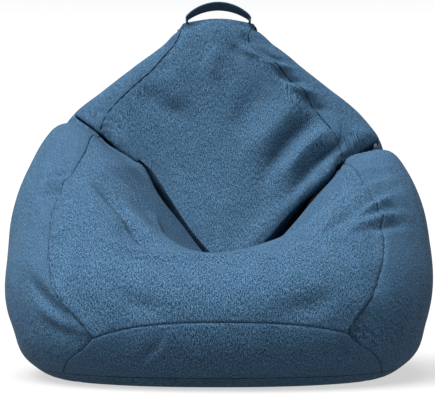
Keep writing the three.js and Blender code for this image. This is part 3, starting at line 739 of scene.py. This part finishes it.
blue = Finish("woven_blue", Roughness=0.92, Specular_IOR_Level=0.1)
pattern = blue.node("ShaderNodeUVMap", {"uv_map": "weave"})
warp = blue.noise(blue.stretched(pattern, (760, 330, 1)), 1, 2.0, 0.6)
weft = blue.noise(blue.stretched(pattern, (360, 780, 1)), 1, 2.0, 0.6)
slub = blue.noise(blue.stretched(pattern, (380, 130, 1)), 1, 3.0, 0.6)
mottle = blue.noise(pattern, 26, 3.0, 0.55)
shade = (warp - 0.5) * 4.2 + (weft - 0.5) * 3.6 + (slub - 0.5) * 2.6 + (mottle - 0.5) * 0.35 + 0.5
blues = [(0.05, (0.0015, 0.008, 0.020, 1)), (0.5, (0.0100, 0.0320, 0.0620, 1)),
         (0.95, (0.044, 0.093, 0.148, 1))]
blue.set("Base Color", blue.node("ShaderNodeValToRGB", {"stops": blues}, {"Fac": shade}))
height = warp * 0.5 + weft * 0.5
blue.set("Normal", blue.node("ShaderNodeBump", {}, {"Height": height, "Distance": 0.0006, "Strength": 0.5}))

ZIP_SHOWS = 0.0062
zip_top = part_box("zip_coil_left")[1][2]

PANELS = {
    "front_panel": (0, right_front, low_row, rows - 1),
    "lower_front_panel": (0, right_front, 0, low_row),
    "right_side_panel": (right_front, right_back, 0, rows - 1),
    "back_panel_right": (right_back, back_column, 0, rows - 1),
    "back_panel_left": (back_column, left_back, 0, rows - 1),
    "left_side_panel": (left_back, columns, 0, rows - 1),
}
for name, (first, last, bottom, top) in PANELS.items():
    cut = (slice(first, last + 1), slice(bottom, top + 1))
    places = whole[cut].copy()
    if name.startswith("back"):
        side = 1 if name.endswith("right") else -1
        aside = np.abs(places[..., 0])
        height = places[..., 2]
        beside_zip = ease(zip_top + 0.030, zip_top + 0.018, height) * ease(0.024, 0.034, height)
        places[..., 0] += side * ZIP_SHOWS * beside_zip * np.maximum(1 - aside / 0.05, 0)
    piece = grid_piece("cover_" + name, turned_in(places, outward_whole[cut]))
    finish_cloth(piece, blue.material)
    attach(piece, "cover")
    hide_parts(name)

# The base panel lies flat on the floor and turns up to meet the others.
BASE_SHARES = [0, 0.2, 0.4, 0.6, 0.75, 0.86, 0.90, 0.93, 0.96, 0.98, 1.0]
BASE_FLAT = 0.86


def base_rings(rim):
    """Rings from the middle of the base out to its rim."""
    low = rim[:, 2].mean() - rim_height
    middle = np.array([rim[:, 0].mean(), rim[:, 1].mean(), low])
    rings = []
    for share in BASE_SHARES:
        ring = middle + (rim - middle) * share
        ring[:, 2] = low + rim_height * max(0, (share - BASE_FLAT) / (1 - BASE_FLAT)) ** 2
        rings.append(ring)
    return np.stack(rings, 1)


def closed_up(piece, fill=False):
    """Join a grid's meeting edges, close its pole, and face it outwards."""
    shape = bmesh.new()
    shape.from_mesh(piece.data)
    bmesh.ops.remove_doubles(shape, verts=shape.verts, dist=1e-5)
    if fill:
        bmesh.ops.holes_fill(shape, edges=[e for e in shape.edges if e.is_boundary], sides=0)
    bmesh.ops.recalc_face_normals(shape, faces=shape.faces)
    shape.to_mesh(piece.data)
    shape.free()


base = grid_piece("cover_base_panel", base_rings(whole[:, 0]))
closed_up(base)
if base.data.polygons[0].normal.z > 0:
    base.data.flip_normals()
finish_cloth(base, blue.material)
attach(base, "cover")
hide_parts("base_panel")

# The handle: a strap of darker webbing folded in half, bent into a low arch and sewn in at both ends of the
# top seam. It narrows where it is gathered into the seam, and leans back.
STRAP_THICK = 0.003
STRAP_FOOT = 0.014
STRAP_HALF_END, STRAP_HALF_MORE = 0.008, 0.012
STRAP_CROWN = 0.0012
STRAP_CUP = 0.04
STRAP_STEPS = 72
strap_hinge = Vector((0, ridge_y, 0.8414))
strap_span, strap_rise = 0.0772, 0.0370
strap_lean = math.radians(20)
turns = np.linspace(math.pi, 0, STRAP_STEPS + 1)
arch_x, arch_z = strap_span * np.cos(turns), strap_rise * np.sin(turns) ** 1.6
strap_half = STRAP_HALF_END + STRAP_HALF_MORE * np.sin(turns) ** 0.8
foot_x, foot_z = arch_x[:1] + 0.001, arch_z[:1] - STRAP_FOOT
arch_x = np.concatenate([foot_x, arch_x, -foot_x])
arch_z = np.concatenate([foot_z, arch_z, foot_z])
strap_half = np.concatenate([strap_half[:1], strap_half, strap_half[:1]])
edge_share = np.array([-1, -0.99, -0.93, -0.85, -0.84, -0.5, 0, 0.5, 0.84, 0.85, 0.93, 0.99, 1])
side_place = edge_share * strap_half[:, None]
height = arch_z[:, None] + STRAP_CROWN * (1 - edge_share ** 2)
places = np.zeros((*side_place.shape, 3))
near_feet = (1 - arch_z[:, None] / strap_rise).clip(0, 1)
places[..., 0] = arch_x[:, None] * (1 + STRAP_CUP * edge_share ** 2 * near_feet)
places[..., 1] = strap_hinge.y + side_place * math.cos(strap_lean) + height * math.sin(strap_lean)
places[..., 2] = strap_hinge.z - side_place * math.sin(strap_lean) + height * math.cos(strap_lean)
webbing = Finish("strap_webbing", Roughness=0.9, Specular_IOR_Level=0.1)
pattern = webbing.node("ShaderNodeUVMap", {"uv_map": "weave"})
cords = webbing.noise(webbing.stretched(pattern, (900, 500, 1)), 1, 2.0, 0.6)
navies = [(0.3, (0.002, 0.010, 0.022, 1)), (0.7, (0.014, 0.046, 0.088, 1))]
webbing.set("Base Color", webbing.node("ShaderNodeValToRGB", {"stops": navies}, {"Fac": cords}))
relief = {"Height": cords, "Distance": 0.0004, "Strength": 0.5}
webbing.set("Normal", webbing.node("ShaderNodeBump", {}, relief))
strap = grid_piece("carry_strap", places)
finish_cloth(strap, webbing.material, STRAP_THICK)
round_edge = strap.modifiers.new("round_edge", "BEVEL")
round_edge.width, round_edge.segments, round_edge.limit_method = 0.0009, 3, "ANGLE"
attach(strap, "carry_handle")
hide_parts("carry_handle")

# The cover's zip: a nylon zip up the middle of the back. Its woven tapes are sewn under the turned-in edges
# of the two back panels, its teeth stand up between them, and its metal slider has a small hanging pull.
def zip_place(height, x=0.0, rise=0.0):
    """A matrix that seats a thing on the middle of the back, standing out of it along Y."""
    angle = math.asin((height - back_middle.z) / BACK_RADIUS)
    turn = Matrix.Rotation(angle, 4, "X")
    out = Vector((x, BACK_RADIUS + rise, 0))
    return Matrix.Translation(back_middle + turn.to_3x3() @ out) @ turn


def row_of(name, places, block, material, bevel):
    """A piece made of many small blocks, one at each place, with their edges taken off."""
    mesh = bpy.data.meshes.new(name)
    piece = bpy.data.objects.new(name, mesh)
    shape = bmesh.new()
    for place in places:
        bmesh.ops.create_cube(shape, size=1, matrix=place @ Matrix.Diagonal((*block, 1)))
    bmesh.ops.bevel(shape, geom=shape.edges[:], offset=bevel, affect="EDGES", segments=1, profile=0.5,
                    material=-1)
    shape.to_mesh(mesh)
    shape.free()
    mesh.materials.append(material)
    scene.collection.objects.link(piece)
    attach(piece, "cover")
    return piece


nylon = Finish("zip_nylon", Roughness=0.38, Specular_IOR_Level=0.5)
spread = nylon.noise(nylon.coordinates("Object"), 900, 2.0)
inks = [(0.35, (0.006, 0.011, 0.020, 1)), (0.65, (0.014, 0.024, 0.040, 1))]
nylon.set("Base Color", nylon.node("ShaderNodeValToRGB", {"stops": inks}, {"Fac": spread}))
zip_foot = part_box("zip_coil_left")[0][2]
TOOTH_PITCH = 0.0026
TOOTH = (0.0021, 0.0017, 0.0014)
TOOTH_ASIDE, TOOTH_RISE, TOOTH_BEVEL = 0.00135, 0.00075, 0.0003
ROW_END = 0.001
for side, name in ((-1, "left"), (1, "right")):
    shift = TOOTH_PITCH / 2 if side > 0 else 0
    heights = np.arange(zip_foot + ROW_END + shift, zip_top - ROW_END, TOOTH_PITCH)
    places = [zip_place(h, side * TOOTH_ASIDE, TOOTH_RISE) for h in heights]
    teeth = row_of("zip_teeth_" + name, places, TOOTH, nylon.material, TOOTH_BEVEL)
    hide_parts("zip_coil_" + name)

# Topstitching in dark thread holds the panels down on the tapes.
thread = Finish("dark_thread", Roughness=0.6)
twist = thread.noise(thread.coordinates("Object"), 1500, 1.0)
threads = [(0.4, (0.008, 0.022, 0.042, 1)), (0.6, (0.018, 0.046, 0.080, 1))]
thread.set("Base Color", thread.node("ShaderNodeValToRGB", {"stops": threads}, {"Fac": twist}))
STITCH_PITCH = 0.0042
STITCH = (0.0007, 0.0006, 0.0031)
STITCH_ASIDE, STITCH_RISE, STITCH_BEVEL = 0.0105, 0.0001, 0.0002
STITCH_FOOT, STITCH_PAST_TOP = 0.05, 0.012
for side, name in ((-1, "left"), (1, "right")):
    heights = np.arange(STITCH_FOOT, zip_top + STITCH_PAST_TOP, STITCH_PITCH)
    places = [zip_place(h, side * STITCH_ASIDE, STITCH_RISE) for h in heights]
    stitches = row_of("zip_stitches_" + name, places, STITCH, thread.material, STITCH_BEVEL)

# The other parts of both zips, whose shape is right as it is: twilled tapes, nylon coils, and sliders, a pull
# and stops of cast zinc. Each gets its finish.
tape = Finish("zip_tape_twill", Roughness=0.85, Specular_IOR_Level=0.2)
twill = {"Vector": tape.coordinates("Object"), "Scale": 420.0, "Distortion": 1.2}
ribs = tape.node("ShaderNodeTexWave", {"bands_direction": "DIAGONAL"}, twill)
shades = [(0.2, (0.004, 0.008, 0.015, 1)), (0.8, (0.012, 0.022, 0.037, 1))]
tape.set("Base Color", tape.node("ShaderNodeValToRGB", {"stops": shades}, {"Fac": ribs}))
tape.set("Normal", tape.node("ShaderNodeBump", {}, {"Height": ribs, "Distance": 0.0002, "Strength": 0.6}))
zinc = Finish("cast_zinc", Metallic=1.0, Base_Color=(0.42, 0.43, 0.45, 1))
rubbed = zinc.noise(zinc.coordinates("Object"), 380, 4.0, 0.6)
zinc.set("Roughness", rubbed * 0.35 + 0.16)
zinc.set("Normal", zinc.node("ShaderNodeBump", {}, {"Height": rubbed, "Distance": 0.0001, "Strength": 0.3}))
finishes = {"zip_tape_left": tape, "zip_tape_right": tape, "liner_zip_tape_left": tape,
            "liner_zip_tape_right": tape, "liner_zip_coil_left": nylon, "liner_zip_coil_right": nylon,
            "zip_slider": zinc, "zip_pull": zinc, "zip_top_stop": zinc, "zip_bottom_stop": zinc,
            "liner_zip_slider": zinc, "liner_zip_top_stop": zinc, "liner_zip_bottom_stop": zinc}
for node, finish in finishes.items():
    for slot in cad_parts[node].material_slots:
        slot.material = finish.material

# The liner: a plain white bag of spun polyester in two halves and a base, loose inside the cover. It holds
# the beads, so that the cover comes off for washing.
LINER_DEPTH, LINER_THICK = 0.006, 0.0006
TOP_SHRINK, TOP_SHRINK_HEIGHT = 0.12, 0.70
liner_finish = Finish("liner_cloth", Roughness=0.85)
pattern = liner_finish.node("ShaderNodeUVMap", {"uv_map": "weave"})
bonded = liner_finish.node("ShaderNodeTexVoronoi", {}, {"Vector": pattern, "Scale": 420.0})
fibres = liner_finish.noise(pattern, 260, 3.0, 0.6)
whites = [(0.3, (0.62, 0.62, 0.60, 1)), (0.7, (0.84, 0.84, 0.82, 1))]
liner_finish.set("Base Color", liner_finish.node("ShaderNodeValToRGB", {"stops": whites}, {"Fac": fibres}))
liner_finish.set("Normal", liner_finish.node("ShaderNodeBump", {}, {
    "Height": bonded, "Distance": 0.0003, "Strength": 0.4}))


def layer(depth):
    """The cover's form with all its folds, drawn in by a depth, and more at the narrow top."""
    inner = creased(depth) + folded
    top = ease(TOP_SHRINK_HEIGHT, 0.80, inner[..., 2:])
    inner = inner - top * (inner - (0, ridge_y, TOP_SHRINK_HEIGHT)) * TOP_SHRINK
    return np.concatenate([inner, inner[:1]])


def declare(piece, node):
    """A piece under the cover, which goes with it."""
    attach(piece, "cover")
    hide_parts(node)


inner = layer(LINER_DEPTH)
around = np.concatenate([inner[:-1], inner])
front_middle = right_front // 2
halves = [("right", front_middle, back_column), ("left", back_column, columns + front_middle)]
for name, first, last in halves:
    piece = grid_piece("liner_" + name, around[first:last + 1])
    finish_cloth(piece, liner_finish.material, LINER_THICK)
    declare(piece, "liner_" + name + "_half")
piece = grid_piece("liner_base_cloth", base_rings(inner[:, 0]))
closed_up(piece)
finish_cloth(piece, liner_finish.material, LINER_THICK)
declare(piece, "liner_base")

# The filling: several kilos of shredded foam and polystyrene beads, which takes the shape of the sitter.
bead_finish = Finish("bead_foam", Roughness=0.7)
grains = {"Vector": bead_finish.coordinates("Object"), "Scale": 190.0}
beads = bead_finish.node("ShaderNodeTexVoronoi", {}, grains)
foams = [(0.0, (0.90, 0.90, 0.88, 1)), (0.7, (0.62, 0.62, 0.60, 1))]
bead_finish.set("Base Color", bead_finish.node("ShaderNodeValToRGB", {"stops": foams}, {"Fac": beads}))
bead_finish.set("Normal", bead_finish.node("ShaderNodeBump", {"invert": True}, {
    "Height": beads, "Distance": 0.003, "Strength": 0.8}))
FILLING_DEPTH = 0.009
inner = layer(FILLING_DEPTH)
filling = grid_piece("beads", np.concatenate([base_rings(inner[:, 0])[:, :-1], inner], axis=1))
closed_up(filling, fill=True)
filling.data.materials.append(bead_finish.material)
declare(filling, "bead_filling")
